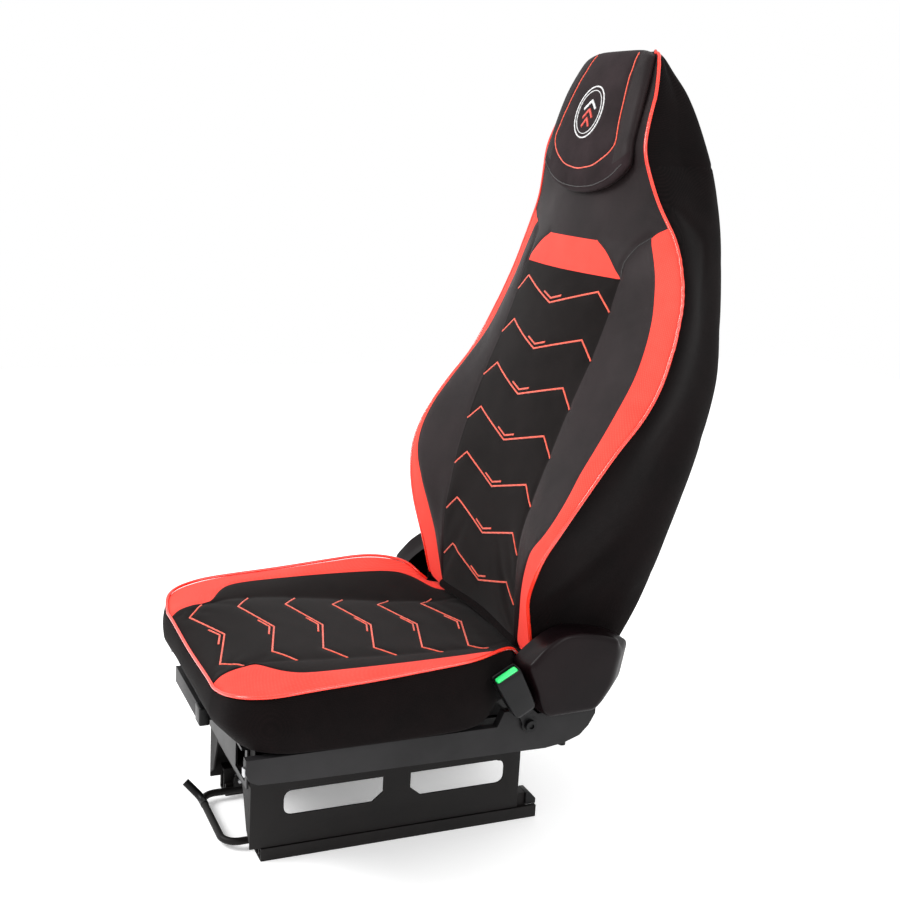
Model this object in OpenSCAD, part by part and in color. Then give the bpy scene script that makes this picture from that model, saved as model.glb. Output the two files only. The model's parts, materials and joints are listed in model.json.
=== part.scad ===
// Adjustable vehicle bucket seat on fore-and-aft slide rails.
// The occupant faces -Y. Z = 0 is the floor, and the origin is the centre of
// the four floor bolts. +X is the occupant's left, the side with the buckle.

/* [Rails] */
// Length of each floor rail
rail_len = 446; // [440:1:460]
// Distance from the mid-plane to each rail's centre line
rail_x = 104; // [102:1:106]
// Outer width of a floor rail
rail_w = 36; // [36:1:38]
// Height of a floor rail
rail_h = 19.5; // [19.5:0.5:20]
// Sheet thickness of the floor rails
rail_t = 3; // [2.5:0.5:3]
// Spacing of the two floor bolts of one rail
bolt_pitch = 340; // [320:10:360]
// Diameter of a floor bolt hole
bolt_hole_d = 9; // [8:0.5:10]

/* [Riser] */
// Height of the top of the risers above the floor
riser_top = 160; // [158:1:161]
// Height of the front sheet between the risers
apron_h = 58; // [50:1:60]
// Y of the risers' front edge
riser_front = -240; // [-244:1:-236]
// Y of the risers' rear edge
riser_rear = 190; // [186:1:194]
// Sheet thickness of the risers
riser_t = 3; // [2:0.5:4]
// Height of a window's lower edge above the floor
window_bottom = 68; // [66:1:72]
// Height of a window's upper edge above the floor
window_top = 106; // [102:1:110]
// radius of the windows' outer corners
window_r = 12; // [8:1:14]

/* [Cushion] */
// Half of the cushion's width
cushion_half_w = 245; // [240:1:248]
// Y of the cushion's front edge
cushion_front = -302; // [-305:1:-299]
// Y where the cushion dips to pass under the backrest
cushion_rear = 136; // [134:1:138]
// Height of the cushion's underside
cushion_base = 222; // [222:1:224]

/* [Backrest] */
// Y of the recline axis
hinge_y = 200; // [198:1:202]
// Height of the recline axis
hinge_z = 300; // [298:1:302]
// Height of the top of the backrest
back_top = 1176; // [1170:1:1180]
// Height of the backrest's lower edge
back_bottom = 312; // [312:1:316]
// Lean of the backrest's inner frame from the vertical
back_lean = 17; // [16:0.5:18]

/* [Buckle] */
// Width of the buckle's housing
buckle_w = 37; // [34:1:38]
// Length of the buckle's housing
buckle_len = 68; // [60:1:70]
// Thickness of the buckle's housing
buckle_t = 22; // [20:1:22]
// Forward lean of the buckle from the vertical
buckle_lean = 27; // [24:1:28]

/* [Hidden] */
$fn = 48;

rail_y0 = -rail_len / 2;
steel = [0.13, 0.13, 0.14];
trim = [0.22, 0.21, 0.22];
plastic_black = [0.06, 0.06, 0.07];
foam_black = [0.15, 0.14, 0.14];

// slide rail: an upturned channel whose feet run under the floor rail's lips
hat_w = 20;
hat_t = 2.5;
hat_top = 40;
foot_w = 27;
slide_front = -224;
slide_rear = 206;

// towel bar that releases the slide rails
tube_r = 5.5;
bar_x = 78;
bar_z = 13;
bar_y = -266;
bar_pivot_y = -204;
bar_pivot_z = 30;
bend_r = 24;
pin_r = 3;
pin_gap = 0.35;

// side trim
skirt_x = 236;
skirt_d = 14;
wall = 3;
cover_x = 268;
cover_inner_x = 216;
plate_t = 6;
plate_x = 209;
arm_x = 190;
shaft_r = 8;
hub_r = 40;

// buckle
buckle_x = 256;
anchor_y = 137;
anchor_z = 220;

pan_half_w = 196;
pan_t = 4;
cushion_tail = 186;
lever_y = -236;
lever_z = 192;
lever_r = 5;

// ---------------------------------------------------------------- helpers

// a shape and its mirror image across the mid-plane
module both() {
    children();
    mirror([1, 0, 0]) children();
}

module side(right) {
    if (right) mirror([1, 0, 0]) children();
    else children();
}

// extrudes a shape drawn in (y, z) along X from x0 to x0 + w
module along_x(x0, w) {
    translate([x0, 0, 0])
        rotate([90, 0, 90])
            linear_extrude(w) children();
}

// a round bar along X with its middle at x
module x_rod(r, w, x, y, z) {
    translate([x - w / 2, y, z])
        rotate([0, 90, 0]) cylinder(r = r, h = w);
}

// smooth curve through [t, value] points
function key(v, t, i = 0) =
    (i >= len(v) - 2 || t < v[i + 1][0]) ? i : key(v, t, i + 1);
function grade(v, i) =
    let (a = max(i - 1, 0), b = min(i + 1, len(v) - 1))
    (v[b][1] - v[a][1]) / (v[b][0] - v[a][0]);
function curve(v, t) =
    let (i = key(v, t), h = v[i + 1][0] - v[i][0], s = (t - v[i][0]) / h)
    v[i][1] * (1 + 2 * s) * pow(1 - s, 2) + h * grade(v, i) * s * pow(1 - s, 2)
    + v[i + 1][1] * s * s * (3 - 2 * s) - h * grade(v, i + 1) * s * s * (1 - s);

// closed solid through a stack of rings that have equal numbers of points
module loft(rings) {
    n = len(rings[0]);
    m = len(rings);
    walls = [for (j = [0:m - 2], i = [0:n - 1], t = [0:1])
        let (a = j * n + i, b = j * n + (i + 1) % n)
        t == 0 ? [a, b, b + n] : [a, b + n, a + n]];
    caps = [[for (i = [n - 1:-1:0]) i], [for (i = [0:n - 1]) (m - 1) * n + i]];
    polyhedron(points = [for (r = rings) each r], faces = concat(walls, caps));
}

// ring from one half's [x, other] points: the half and its mirror image. A point
// on the mid-plane is taken once.
function mirrored(half) = concat(half, [for (i = [len(half) - 2:-1:0])
    if (half[i][0] > 0) [-half[i][0], half[i][1]]]);

// ---------------------------------------------------------------- rails

module floor_rail_profile() {
    lip = (rail_w - 23) / 2;
    difference() {
        translate([-rail_w / 2, 0]) square([rail_w, rail_h]);
        translate([-rail_w / 2 + rail_t, rail_t])
            square([rail_w - 2 * rail_t, rail_h - 2 * rail_t]);
        translate([-rail_w / 2 + lip, rail_t])
            square([rail_w - 2 * lip, rail_h]);
    }
}

module floor_rail() {
    color(steel)
        difference() {
            translate([rail_x, rail_y0 + rail_len, 0])
                rotate([90, 0, 0])
                    linear_extrude(rail_len) floor_rail_profile();
            for (s = [-1, 1])
                translate([rail_x, s * bolt_pitch / 2, -1])
                    cylinder(d = bolt_hole_d, h = rail_t + 2);
        }
}

module floor_rail_left() { floor_rail(); }
module floor_rail_right() { side(true) floor_rail(); }

module slide_profile() {
    difference() {
        union() {
            translate([-hat_w / 2, 8]) square([hat_w, hat_top - 8]);
            translate([-foot_w / 2, 8]) square([foot_w, 5]);
        }
        translate([-hat_w / 2 + hat_t, 7])
            square([hat_w - 2 * hat_t, hat_top - hat_t - 7]);
    }
}

module slide_rail() {
    color(steel)
        difference() {
            translate([rail_x, slide_rear, 0])
                rotate([90, 0, 0])
                    linear_extrude(slide_rear - slide_front) slide_profile();
            x_rod(pin_r, hat_w, rail_x - 6, bar_pivot_y, bar_pivot_z);
        }
}

module slide_rail_left() { slide_rail(); }
module slide_rail_right() { side(true) slide_rail(); }

// sloping plastic end cap behind the slide rail
module rail_cap() {
    color(plastic_black)
        along_x(rail_x - 14, 28)
            polygon([[slide_rear, rail_h + 1], [slide_rear + 18, rail_h + 1],
                     [slide_rear + 18, 29], [slide_rear + 8, hat_top],
                     [slide_rear, hat_top]]);
}

module rail_cap_left() { rail_cap(); }
module rail_cap_right() { side(true) rail_cap(); }

// ---------------------------------------------------------------- risers

function arc(centre, r, from, to) =
    [for (i = [0:4]) let (a = from + (to - from) * i / 4)
        centre + r * [cos(a), sin(a)]];

// a window is round at its outer end and chamfered next to the middle post
module window_shape(outer, inner) {
    turn = inner > outer ? 1 : -1;
    low = [outer + turn * window_r, window_bottom + window_r];
    high = [outer + turn * window_r, window_top - window_r];
    side_angle = turn > 0 ? 180 : 0;
    polygon(concat(arc(low, window_r, 270, turn > 0 ? 180 : 360),
                   arc(high, window_r, side_angle, 90),
                   [[inner, window_top], [inner, window_bottom + 14],
                    [inner - turn * 17, window_bottom]]));
}

module riser_side_shape() {
    difference() {
        translate([riser_front, rail_h + 1.5])
            square([riser_rear - riser_front, riser_top - rail_h - 1.5]);
        window_shape(-190, -37);
        window_shape(162, 7);
    }
}

// side plate with its upper, lower and front flanges
module riser() {
    x1 = rail_x + rail_w / 2 - 1;
    x0 = rail_x - hat_w / 2;
    color(steel) {
        along_x(x1 - riser_t, riser_t) riser_side_shape();
        translate([x0, slide_front, hat_top])
            cube([x1 - x0 - 1, riser_rear - slide_front, riser_t]);
        translate([x1 - 34, riser_front, riser_top - riser_t])
            cube([33, riser_rear - riser_front, riser_t]);
        translate([0, riser_front + riser_t, 0])
            rotate([90, 0, 0])
                linear_extrude(riser_t)
                    polygon([[x1 - 1, 28], [x1 - 20, 42],
                             [x1 - 48, riser_top - apron_h + 4],
                             [x1 - 48, riser_top], [x1 - 1, riser_top]]);
    }
}

module riser_left() { riser(); }
module riser_right() { side(true) riser(); }

// front sheet between the two risers
module front_apron() {
    x1 = rail_x + rail_w / 2 - 49;
    color(trim)
        translate([0, riser_front + riser_t, 0])
            rotate([90, 0, 0])
                linear_extrude(riser_t)
                    translate([-x1, riser_top - apron_h]) square([2 * x1, apron_h]);
}

module rear_crossmember() {
    color(steel)
        x_rod(11, 2 * (rail_x + rail_w / 2 - 1 - riser_t), 0, riser_rear - 34,
              riser_top - 46);
}

// pressed steel pan on the risers, with side rails that carry the skirts and
// the blocks behind the hinge plates
module seat_pan() {
    z0 = riser_top;
    w = pan_half_w;
    color(steel) {
        translate([-w, -262, z0]) cube([2 * w, 466, 3]);
        both() {
            translate([w - 3, -262, z0]) cube([3, 466, 44]);
            translate([w, -256, z0 + 30]) cube([skirt_x - wall - w, 356, 3]);
            translate([w, 116, z0 + 16]) cube([plate_x - w, 106, 24]);
        }
    }
}

// ---------------------------------------------------------------- side trim

// side view of the skirt, inset all round by e
function skirt_outline(e) = [
    [-279 + e, 220 - e], [-279 + e, 200 + e / 2], [-274 + e, 189 + e],
    [-262 + e / 2, 183 + e], [-200, 181 + e], [60, 178 + e], [168, 177 + e],
    [198, 181 + e], [224, 190 + e], [238 - e / 2, 204 + e / 2], [248 - e, 222],
    [248 - e, 233 - e], [152, 233 - e], [142, 242 - e], [98 + e, 242 - e],
    [88 + e, 220 - e]
];

module skirt() {
    color(trim)
        difference() {
            along_x(skirt_x - skirt_d, skirt_d) polygon(skirt_outline(0));
            along_x(skirt_x - skirt_d - 1, skirt_d - wall + 1)
                polygon(skirt_outline(wall));
            x_rod(4, 3 * skirt_d, skirt_x, anchor_y, anchor_z);
        }
}

module skirt_left() { skirt(); }
module skirt_right() { side(true) skirt(); }

module skirt_clips() {
    color("silver")
        both()
            translate([skirt_x - 10, -282, 196]) cube([8, 3, 12]);
}

// shouldered bolts that hold the buckle and its blank on the other side
module skirt_bolts() {
    color(plastic_black) {
        difference() {
            union() {
                x_rod(4, 30, skirt_x - 6, anchor_y, anchor_z);
                x_rod(8.5, 6, skirt_x + 9.5, anchor_y, anchor_z);
            }
            x_rod(4, 5, skirt_x + 12, anchor_y, anchor_z);
        }
        mirror([1, 0, 0]) {
            x_rod(4, 21, skirt_x - 10.5, anchor_y, anchor_z);
            x_rod(8.5, 5, skirt_x + 2.5, anchor_y, anchor_z);
        }
    }
}

module rear_buffers() {
    color(plastic_black)
        both()
            translate([(pan_half_w + plate_x) / 2, 214, riser_top + 2])
                cylinder(r = 6, h = 14);
}

// steel plate that carries the recline axis
module hinge_plate() {
    color(steel)
        difference() {
            along_x(plate_x, plate_t) {
                translate([hinge_y, hinge_z]) circle(hub_r);
                polygon([[118, 182], [205, 182], [238, 206], [252, 236],
                         [hinge_y + hub_r - 2, hinge_z], [hinge_y - hub_r + 2, hinge_z],
                         [112, 220]]);
            }
            x_rod(shaft_r + 0.4, 4 * plate_t, plate_x, hinge_y, hinge_z);
        }
}

module hinge_plate_left() { hinge_plate(); }
module hinge_plate_right() { side(true) hinge_plate(); }

// recliner cover: the face is smaller than the base, which makes the bevel
function cover_face(e) = [
    [118 + e, 320], [146 + e / 2, 350 - e], [171, 366 - e], [196, 365 - e],
    [230, 357 - e], [263 - e, 347 - e], [262 - e, 321], [253 - e, 277],
    [238 - e, 252 + e / 2], [229 - e, 241 + e], [157 + e, 239 + e],
    [149 + e, 246 + e], [131 + e, 289]
];
function cover_base(e) = [
    [112 + e, 312], [136 + e / 2, 334 - e], [160, 352 - e], [186, 366 - e],
    [222, 362 - e], [256 - e, 353 - e], [290 - e, 334 - e], [280 - e, 277],
    [254 - e, 248 + e / 2], [234 - e, 239 + e], [154 + e, 236 + e],
    [145 + e, 243 + e], [126 + e, 287]
];
function at_x(x, outline) = [for (p = outline) [x, p[0], p[1]]];

module cover_solid(e) {
    loft([at_x(cover_inner_x - e, cover_base(e)), at_x(240, cover_base(e)),
          at_x(cover_x - e, cover_face(e))]);
}

module cover(hole) {
    color([0.25, 0.22, 0.23])
        difference() {
            cover_solid(0);
            cover_solid(wall);
            if (hole) x_rod(10, 80, cover_x, hinge_y, hinge_z);
        }
}

module recliner_cover_left() { cover(false); }
module recliner_cover_right() { side(true) cover(true); }

// ---------------------------------------------------------------- slide lever

module lever_pins() {
    reach = rail_x - bar_x + 8;
    color("silver")
        both() x_rod(pin_r, reach, rail_x - reach / 2, bar_pivot_y, bar_pivot_z);
}

module tube_elbow() {
    translate([bar_x - bend_r, bar_y + bend_r, bar_z])
        rotate([0, 0, -90])
            rotate_extrude(angle = 90)
                translate([bend_r, 0]) circle(tube_r);
}

// bent tube across the front; a lug on each leg turns on a pin in the slide rail
module towel_bar() {
    leg = bar_pivot_y + 8 - bar_y - bend_r;
    color(plastic_black)
        difference() {
            union() {
                x_rod(tube_r, 2 * (bar_x - bend_r), 0, bar_y, bar_z);
                both() {
                    tube_elbow();
                    translate([bar_x, bar_pivot_y + 8, bar_z])
                        rotate([90, 0, 0]) cylinder(r = tube_r, h = leg);
                    along_x(bar_x - 2, 4) {
                        translate([bar_pivot_y, bar_pivot_z]) circle(8);
                        translate([bar_pivot_y - 8, bar_z])
                            square([16, bar_pivot_z - bar_z]);
                    }
                }
            }
            both() x_rod(pin_r + pin_gap, 20, bar_x, bar_pivot_y, bar_pivot_z);
        }
}

// grip that stands forward and up from the bar's right-hand end
module towel_grip() {
    color(plastic_black)
        translate([-bar_x + 7, bar_y + 7, bar_z])
            rotate([58, 0, -30])
                translate([0, 0, tube_r + 1.4]) cylinder(r = tube_r + 1, h = 26);
}

// ---------------------------------------------------------------- cushion

// flat pan with a front flange; the lever's arm passes through the flange's window
module cushion_pan() {
    plate_z = cushion_base - pan_t;
    flange_z = riser_top - 4;
    color(plastic_black) {
        translate([-200, -276, plate_z]) cube([400, 400, pan_t]);
        difference() {
            translate([4 - pan_half_w, -266, flange_z])
                cube([2 * pan_half_w - 8, 3, plate_z + 1 - flange_z]);
            both() translate([132, -267, flange_z + 7])
                cube([50, 5, plate_z - flange_z - 7]);
        }
    }
}

// runners under the cushion, bored for the front lever's shaft
module cushion_runners() {
    z0 = riser_top + 6;
    color(steel)
        both()
            difference() {
                translate([150, -250, z0]) cube([24, 330, cushion_base - pan_t - z0]);
                x_rod(lever_r + pin_gap, 20, 150, lever_y, lever_z);
            }
}

pad_half_w = [[cushion_front, 150], [-296, 188], [-286, 212], [-266, 230],
              [-236, cushion_half_w - 4], [-200, cushion_half_w - 2],
              [0, cushion_half_w], [40, cushion_half_w - 2], [70, 234], [110, 208],
              [cushion_rear, 190], [cushion_tail, 184]];
pad_base = [[cushion_front, 272], [-296, 248], [-290, 233], [-284, cushion_base],
            [cushion_tail, cushion_base]];
piping_z = [[cushion_front, 290], [-290, 300], [-240, 308], [-200, 312], [-100, 318],
            [0, 326], [70, 331], [100, 329], [120, 322], [cushion_rear, 308], [150, 296],
            [cushion_tail, 287]];
band_z = [[cushion_front, 291], [-290, 303], [-240, 313], [-200, 317], [-100, 320],
          [60, 320], [100, 318], [120, 312], [cushion_rear, 302], [150, 293],
          [cushion_tail, 286]];
insert_z = [[cushion_front, 291], [-279, 306], [-206, 314], [-132, 310], [-55, 303],
            [22, 296], [100, 289], [cushion_rear, 286], [cushion_tail, 284]];

function pad_section(y) =
    let (w = curve(pad_half_w, y), b = max(curve(pad_base, y), cushion_base),
         p = curve(piping_z, y), c = curve(band_z, y), i = curve(insert_z, y))
    [for (q = mirrored([[w - 12, b], [w, (b + p) / 2], [w, p], [w * 0.82, c],
                        [w * 0.55, i + 1], [0, i - 3]])) [q[0], y, q[1]]];

module cushion_pad() {
    stations = [cushion_front, -296, -290, -284, -266, -236, -200, -150, -100, -50, 0,
                40, 70, 100, 120, cushion_rear, 150, cushion_tail];
    color(foam_black)
        loft([for (y = stations) pad_section(y)]);
}

// wide pull under the front edge, on two arms and a shaft in the runners
module front_lever() {
    color(trim) {
        translate([-160, cushion_front + 14, 173]) cube([144, 16, 26]);
        translate([-30, cushion_front + 29, 178]) cube([38, 3, 16]);
        translate([-147, cushion_front + 28, 188])
            cube([9, lever_y - cushion_front - 28, 8]);
        x_rod(lever_r, 314, 0, lever_y, lever_z);
    }
}

module front_lever_cap() {
    color(plastic_black)
        translate([-15.6, cushion_front + 12, 171]) cube([28, 16.6, 29]);
}

// ---------------------------------------------------------------- backrest

// arm beside the hinge plate, up into the backrest, with a hub on its outside
module hinge_arm() {
    color(steel)
        difference() {
            union() {
                along_x(arm_x, plate_t) {
                    translate([hinge_y, hinge_z]) circle(hub_r - 10);
                    translate([hinge_y, hinge_z])
                        rotate(-back_lean)
                            translate([-20, 0]) square([44, 220]);
                }
                x_rod(20, plate_x - arm_x - 1, (plate_x + arm_x - 1) / 2, hinge_y,
                      hinge_z);
            }
            x_rod(shaft_r + 0.05, 60, arm_x, hinge_y, hinge_z);
        }
}

module hinge_arm_left() { hinge_arm(); }
module hinge_arm_right() { side(true) hinge_arm(); }

// shaft that links the two recliners
module recline_shaft() {
    color("silver") x_rod(shaft_r, 2 * plate_x + 2 * plate_t, 0, hinge_y, hinge_z);
}

// a place in the inner frame: d above the recline axis, along the lean
module on_frame(d, x = 0) {
    translate([x, hinge_y, hinge_z])
        rotate([-back_lean, 0, 0])
            translate([0, 0, d]) children();
}

frame_len = 480;
frame_x = arm_x - 13;
pocket_w = arm_x + plate_t + 2.5;
post_x = 60;
post_lean = 4;
post_len = 330;

module upright() {
    color(steel) on_frame(60, frame_x) cylinder(r = 12, h = frame_len - 60);
}

module back_upright_left() { upright(); }
module back_upright_right() { side(true) upright(); }

module frame_tube(d) {
    color(steel)
        on_frame(d)
            rotate([0, 90, 0])
                cylinder(r = 10, h = 2 * frame_x - 24.4, center = true);
}

module back_top_tube() { frame_tube(frame_len - 14); }
module lumbar_tube() { frame_tube(220); }

// slim post from the top tube into the head, of radius r
module post_shape(r) {
    on_frame(frame_len, post_x)
        rotate([back_lean - post_lean, 0, 0]) cylinder(r = r, h = post_len);
}

module head_post_left() { color(steel) post_shape(7); }
module head_post_right() { color(steel) side(true) post_shape(7); }

pipe_x = [[back_bottom, 203], [380, 204], [420, 218], [470, 250], [540, 283], [600, 290],
          [680, 286], [760, 275], [840, 256], [910, 221], [960, 184], [1030, 150],
          [1110, 126], [1155, 108], [back_top, 70]];
pipe_y = [[back_bottom, 155], [390, 137], [430, 133], [470, 135], [540, 155],
          [600, 189], [680, 246], [720, 272], [800, 303], [870, 318], [920, 319],
          [990, 307], [1030, 304], [1070, 312], [1110, 326], [1155, 340],
          [back_top, 352]];
band_y = [[back_bottom, 155], [390, 147], [430, 140], [480, 137], [540, 147],
          [600, 176], [680, 233], [720, 260], [800, 292], [870, 306], [920, 308],
          [990, 302], [1030, 303], [1070, 310], [1110, 322], [1155, 338],
          [back_top, 350]];
centre_y = [[back_bottom, 160], [360, 158], [436, 160], [511, 171], [657, 207],
            [799, 249], [900, 276], [1000, 300], [1040, 306], [1100, 318],
            [1150, 335], [back_top, 350]];
rear_y = [[back_bottom, 298], [378, 331], [485, 362], [621, 403], [711, 426],
          [785, 432], [912, 440], [982, 437], [1054, 419], [1115, 393],
          [1149, 368], [back_top, 354]];
rear_x = [[back_bottom, 203], [390, 203], [480, 215], [600, 215], [700, 205],
          [800, 190], [900, 165], [980, 142], [1054, 125], [1115, 112],
          [1149, 100], [back_top, 64]];

function back_section(z) =
    let (px = curve(pipe_x, z), py = curve(pipe_y, z), by = curve(band_y, z),
         cy = curve(centre_y, z), ry = curve(rear_y, z), rx = curve(rear_x, z))
    [for (q = mirrored([[0, cy], [px * 0.5, cy + (by - cy) * 0.25], [px - 34, by],
                        [px, py], [(px + rx) / 2 + 2, (py + ry) / 2], [rx, ry],
                        [0, ry + 10]])) [q[0], q[1], z]];

module back_pad() {
    levels = concat([back_bottom], [for (z = [340:30:1150]) z], [1164, back_top]);
    color(foam_black)
        difference() {
            loft([for (z = levels) back_section(z)]);
            on_frame(0)
                translate([-pocket_w, -24, -60])
                    cube([2 * pocket_w, 56, frame_len + 64]);
            x_rod(hub_r - 6, 2 * pocket_w - 2, 0, hinge_y, hinge_z);
            x_rod(22, 2 * skirt_x, 0, hinge_y, hinge_z);
            both() post_shape(9);
        }
}

head_w = [[968, 46], [976, 84], [990, 108], [1010, 121], [1030, 126], [1065, 120],
          [1107, 111], [1150, 96], [1166, 84]];
head_y = [[968, 277], [1040, 288], [1107, 305], [1150, 321], [1166, 329]];

function head_section(z) =
    let (w = curve(head_w, z), y = curve(head_y, z))
    [for (q = mirrored([[0, y], [w * 0.6, y + 1], [w, y + 6], [w, y + 10],
                        [w * 0.6, y + 9.5], [0, y + 9]])) [q[0], q[1], z]];

module head_pad() {
    color(foam_black)
        loft([for (z = [968, 976, 990, 1010, 1030, 1065, 1107, 1150, 1166])
            head_section(z)]);
}

module recline_lever() {
    color(plastic_black)
        side(true) {
            x_rod(8, cover_x + 6 - cover_inner_x, (cover_x + 6 + cover_inner_x) / 2,
                  hinge_y, hinge_z);
            along_x(cover_x + 4, 8)
                union() {
                    translate([hinge_y, hinge_z]) circle(15);
                    translate([hinge_y - 105, hinge_z - 9]) square([105, 18]);
                    translate([hinge_y - 105, hinge_z]) circle(9);
                }
        }
}

// ---------------------------------------------------------------- buckle

// a place on the buckle: d up its own axis from the anchor bolt
module on_buckle(d, x = 0) {
    translate([x, anchor_y, anchor_z])
        rotate([buckle_lean, 0, 0])
            translate([0, 0, d]) children();
}

module buckle_stalk() {
    color(plastic_black)
        difference() {
            union() {
                x_rod(12, 3, skirt_x + 4, anchor_y, anchor_z);
                on_buckle(0, skirt_x + 2.5)
                    translate([0, -9, 0]) cube([3, 18, 31]);
                on_buckle(31, skirt_x + 2.5)
                    translate([0, -9, 0]) cube([buckle_x - skirt_x + 2, 18, 3]);
            }
            x_rod(4 + pin_gap, 10, skirt_x + 4, anchor_y, anchor_z);
        }
}

housing_d = 34;
slot_depth = 16;

module buckle_housing() {
    color(plastic_black)
        on_buckle(housing_d, buckle_x)
            difference() {
                translate([-buckle_t / 2, -buckle_w / 2, 0])
                    cube([buckle_t, buckle_w, buckle_len]);
                translate([-buckle_t / 2 + 2.4, -buckle_w / 2 + 4, buckle_len - slot_depth])
                    cube([5.6, buckle_w - 8, slot_depth + 1]);
                translate([-buckle_t / 2 + 9.6, -buckle_w / 2 + 3, buckle_len - slot_depth])
                    cube([buckle_t - 12, buckle_w - 6, slot_depth + 1]);
            }
}

module buckle_button() {
    color([0.25, 0.9, 0.45])
        on_buckle(housing_d + buckle_len - slot_depth + 6, buckle_x)
            translate([-buckle_t / 2 + 10, -buckle_w / 2 + 3.4, 0])
                cube([buckle_t - 12.8, buckle_w - 6.8, slot_depth - 5]);
}

floor_rail_left();
floor_rail_right();
slide_rail_left();
slide_rail_right();
rail_cap_left();
rail_cap_right();
riser_left();
riser_right();
front_apron();
rear_crossmember();
seat_pan();
skirt_left();
skirt_right();
skirt_clips();
skirt_bolts();
rear_buffers();
hinge_plate_left();
hinge_plate_right();
recliner_cover_left();
recliner_cover_right();
lever_pins();
towel_bar();
towel_grip();
cushion_pan();
cushion_runners();
cushion_pad();
front_lever();
front_lever_cap();
hinge_arm_left();
hinge_arm_right();
recline_shaft();
back_upright_left();
back_upright_right();
back_top_tube();
lumbar_tube();
head_post_left();
head_post_right();
back_pad();
head_pad();
recline_lever();
buckle_stalk();
buckle_housing();
buckle_button();
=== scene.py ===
"""Looks of the vehicle bucket seat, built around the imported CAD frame.

Shapes are laid out in millimetres in the frame of part.scad (the seat faces -Y, +Z is
up) and are scaled to metres as the meshes are made. The cushion and the backrest are
grids whose columns and rows follow the cover's seams, so each panel is a block of
faces. Cloth simulation swells the panels between their pinned seams.
"""

import json
import math

import bmesh
import bpy
import numpy as np
from mathutils import Matrix, Vector, noise
from mathutils.bvhtree import BVHTree


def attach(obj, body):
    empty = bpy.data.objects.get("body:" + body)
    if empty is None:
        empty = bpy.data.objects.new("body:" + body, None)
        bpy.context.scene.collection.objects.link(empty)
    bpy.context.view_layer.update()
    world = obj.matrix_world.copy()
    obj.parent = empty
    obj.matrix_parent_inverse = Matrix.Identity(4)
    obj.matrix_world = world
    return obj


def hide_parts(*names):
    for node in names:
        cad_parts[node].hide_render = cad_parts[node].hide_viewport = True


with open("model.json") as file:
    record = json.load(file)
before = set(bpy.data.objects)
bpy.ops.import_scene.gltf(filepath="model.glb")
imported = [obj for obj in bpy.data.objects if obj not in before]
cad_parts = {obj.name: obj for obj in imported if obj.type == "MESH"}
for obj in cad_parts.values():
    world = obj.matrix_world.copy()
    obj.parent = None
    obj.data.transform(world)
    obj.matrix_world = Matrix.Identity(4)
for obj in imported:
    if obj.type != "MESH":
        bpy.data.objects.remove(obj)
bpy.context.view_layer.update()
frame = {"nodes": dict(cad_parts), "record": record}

MM = 0.001
scene = bpy.context.scene


# ---------------------------------------------------------------- curves and meshes

def hermite(a, b, slope_a, slope_b, t):
    """Cubic from a to b as t runs from 0 to 1, with the given slopes at its ends."""
    return (a * (1 + 2 * t) * (1 - t) ** 2 + slope_a * t * (1 - t) ** 2
            + b * t * t * (3 - 2 * t) - slope_b * t * t * (1 - t))


def curve(keys, t):
    """Smooth curve through (t, value) keys, with finite-difference slopes."""
    keys = np.array(keys, float)
    x, y = keys[:, 0], keys[:, 1]
    slope = np.empty(len(x))
    slope[1:-1] = (y[2:] - y[:-2]) / (x[2:] - x[:-2])
    slope[0] = (y[1] - y[0]) / (x[1] - x[0])
    slope[-1] = (y[-1] - y[-2]) / (x[-1] - x[-2])
    t = np.clip(np.asarray(t, float), x[0], x[-1])
    i = np.clip(np.searchsorted(x, t, side="right") - 1, 0, len(x) - 2)
    h = x[i + 1] - x[i]
    return hermite(y[i], y[i + 1], h * slope[i], h * slope[i + 1], (t - x[i]) / h)


def smooth_step(t):
    t = np.clip(t, 0, 1)
    return t * t * (3 - 2 * t)


def unit(vectors):
    return vectors / np.linalg.norm(vectors, axis=1)[:, None]


def run_length(points):
    """Distance along a polyline to each of its points."""
    return np.concatenate([[0], np.cumsum(np.linalg.norm(np.diff(points, axis=0), axis=1))])


def resample(values, length, t):
    """Rows of values, known at the given lengths, read off at the lengths t."""
    return np.stack([np.interp(t, length, values[:, k]) for k in range(3)], 1)


def relax(path):
    """Smooths a path in place. Its ends stay."""
    for _ in range(3):
        path[1:-1] = (path[:-2] + 2 * path[1:-1] + path[2:]) / 4


def path_through(points, step):
    """Points every step along a smooth curve through the given 3-D points."""
    points = np.array(points, float)
    length = run_length(points)
    t = np.linspace(0, length[-1], max(2, int(round(length[-1] / step)) + 1))
    return np.stack([curve(np.stack([length, points[:, k]], 1), t) for k in range(3)], 1)


def rounded_path(corners, radius, closed=False, steps=6):
    """A 2-D or 3-D polyline with each corner replaced by a small arc."""
    corners = [np.array(c, float) for c in corners]
    n = len(corners)
    out = []
    for i, corner in enumerate(corners):
        if not closed and i in (0, n - 1):
            out.append(corner)
            continue
        before = corners[i - 1] - corner
        after = corners[(i + 1) % n] - corner
        reach = min(radius, 0.45 * np.linalg.norm(before), 0.45 * np.linalg.norm(after))
        a = corner + before / np.linalg.norm(before) * reach
        b = corner + after / np.linalg.norm(after) * reach
        for s in np.linspace(0, 1, steps):
            out.append((1 - s) ** 2 * a + 2 * s * (1 - s) * corner + s * s * b)
    return np.array(out)


def make_object(name, points_mm, faces, materials, face_material=None, smooth=True):
    """A mesh object from points in millimetres."""
    mesh = bpy.data.meshes.new(name)
    mesh.from_pydata((np.array(points_mm, float) * MM).tolist(), [], faces)
    for material in materials:
        mesh.materials.append(material)
    if face_material is not None:
        mesh.polygons.foreach_set("material_index", face_material)
    mesh.polygons.foreach_set("use_smooth", [smooth] * len(mesh.polygons))
    mesh.update()
    obj = bpy.data.objects.new(name, mesh)
    scene.collection.objects.link(obj)
    return obj


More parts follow.
